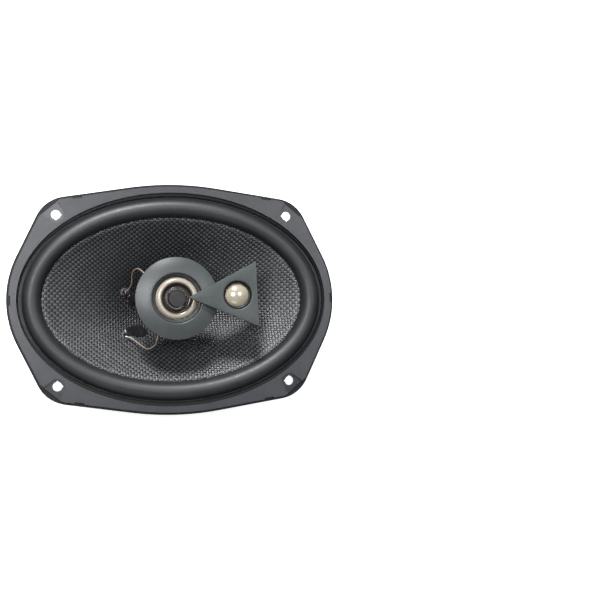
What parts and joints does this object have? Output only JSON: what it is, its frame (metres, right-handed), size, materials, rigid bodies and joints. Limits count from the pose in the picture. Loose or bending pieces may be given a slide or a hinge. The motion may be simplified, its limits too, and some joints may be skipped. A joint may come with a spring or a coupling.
{
  "type": "coaxial car speaker",
  "caption": "Oval coaxial car speaker with a woven cone, rubber half-roll surround, raised round midrange and triangular dome-tweeter pod.",
  "frame": {"origin": "centre of the four screw holes, on the back (mounting) face of the flange", "axes": "+X along the long side, towards the dome tweeter's side; +Y along the short side, away from the terminals; +Z out of the front"},
  "size_m": [0.235, 0.166, 0.0996],
  "materials": {
    "basket_paint": "satin",
    "trim_plastic": "matte",
    "surround_rubber": "satin",
    "spider_cloth": "matte",
    "cone_weave": "satin",
    "former": "satin",
    "copper_wire": "gloss",
    "brass": "polished",
    "glue": "gloss",
    "lead_copper": "satin",
    "lead_braid": "satin",
    "plate_steel": "satin",
    "ferrite": "matte",
    "rivet_steel": "satin",
    "bridge_plastic": "matte",
    "zinc": "satin",
    "disc_grey": "satin",
    "nickel": "satin",
    "plug_black": "matte",
    "cream_film": "satin",
    "mid_film": "gloss",
    "pod_grey": "satin",
    "screw_black": "satin",
    "dome_film": "gloss",
    "board": "matte",
    "cap_sleeve": "gloss"
  },
  "bodies": {
    "frame": {"basket": "basket_paint", "trim_ring": "trim_plastic", "front_plate": "plate_steel", "magnet": "ferrite", "pole_yoke": "plate_steel", "basket_rivets": "rivet_steel", "post": "bridge_plastic", "post_washer": "zinc", "post_screw": "zinc", "mid_housing": "disc_grey", "mid_yoke_cup": "nickel", "mid_magnet": "nickel", "mid_pole_plate": "nickel", "mid_phase_plug": "plug_black", "mid_clamp_ring": "bridge_plastic", "pod_housing": "bridge_plastic", "pod_plate": "pod_grey", "pod_screws": "screw_black", "dome_yoke_cup": "nickel", "dome_magnet": "nickel", "dome_pole_plate": "nickel", "dome_clamp_ring": "bridge_plastic", "terminal_board": "board", "terminal_positive": "brass", "terminal_negative": "brass", "terminal_rivets": "zinc", "capacitor_mid": "cap_sleeve", "capacitor_dome": "cap_sleeve", "capacitor_leads": "zinc"},
    "cone_assembly": {"cone": "cone_weave", "coil_former": "former", "voice_coil": "copper_wire", "lead_eyelets": "brass", "glue_pads": "glue", "surround": "surround_rubber", "spider": "spider_cloth", "front_lead_upper": "lead_copper", "front_lead_lower": "lead_copper", "rear_lead_positive": "lead_braid", "rear_lead_negative": "lead_braid"},
    "mid_diaphragm": {"mid_cone": "mid_film", "mid_coil": "copper_wire", "mid_suspension": "cream_film"},
    "dome_diaphragm": {"dome": "dome_film", "dome_coil": "copper_wire", "dome_suspension": "bridge_plastic"}
  },
  "joints": [
    {"name": "cone_travel", "type": "slide", "parent": "frame", "child": "cone_assembly", "axis": [0, 0, 1], "range_m": [-0.005, 0.005], "stiffness_N_per_m": 2300, "deforming": ["surround", "spider", "front_lead_upper", "front_lead_lower", "rear_lead_positive", "rear_lead_negative"]},
    {"name": "mid_travel", "type": "slide", "parent": "frame", "child": "mid_diaphragm", "axis": [0, 0, 1], "range_m": [-0.0005, 0.0005], "stiffness_N_per_m": 2000, "deforming": ["mid_suspension"]},
    {"name": "dome_travel", "type": "slide", "parent": "frame", "child": "dome_diaphragm", "axis": [0, 0, 1], "range_m": [-0.0003, 0.0003], "stiffness_N_per_m": 3000, "deforming": ["dome_suspension"]}
  ]
}
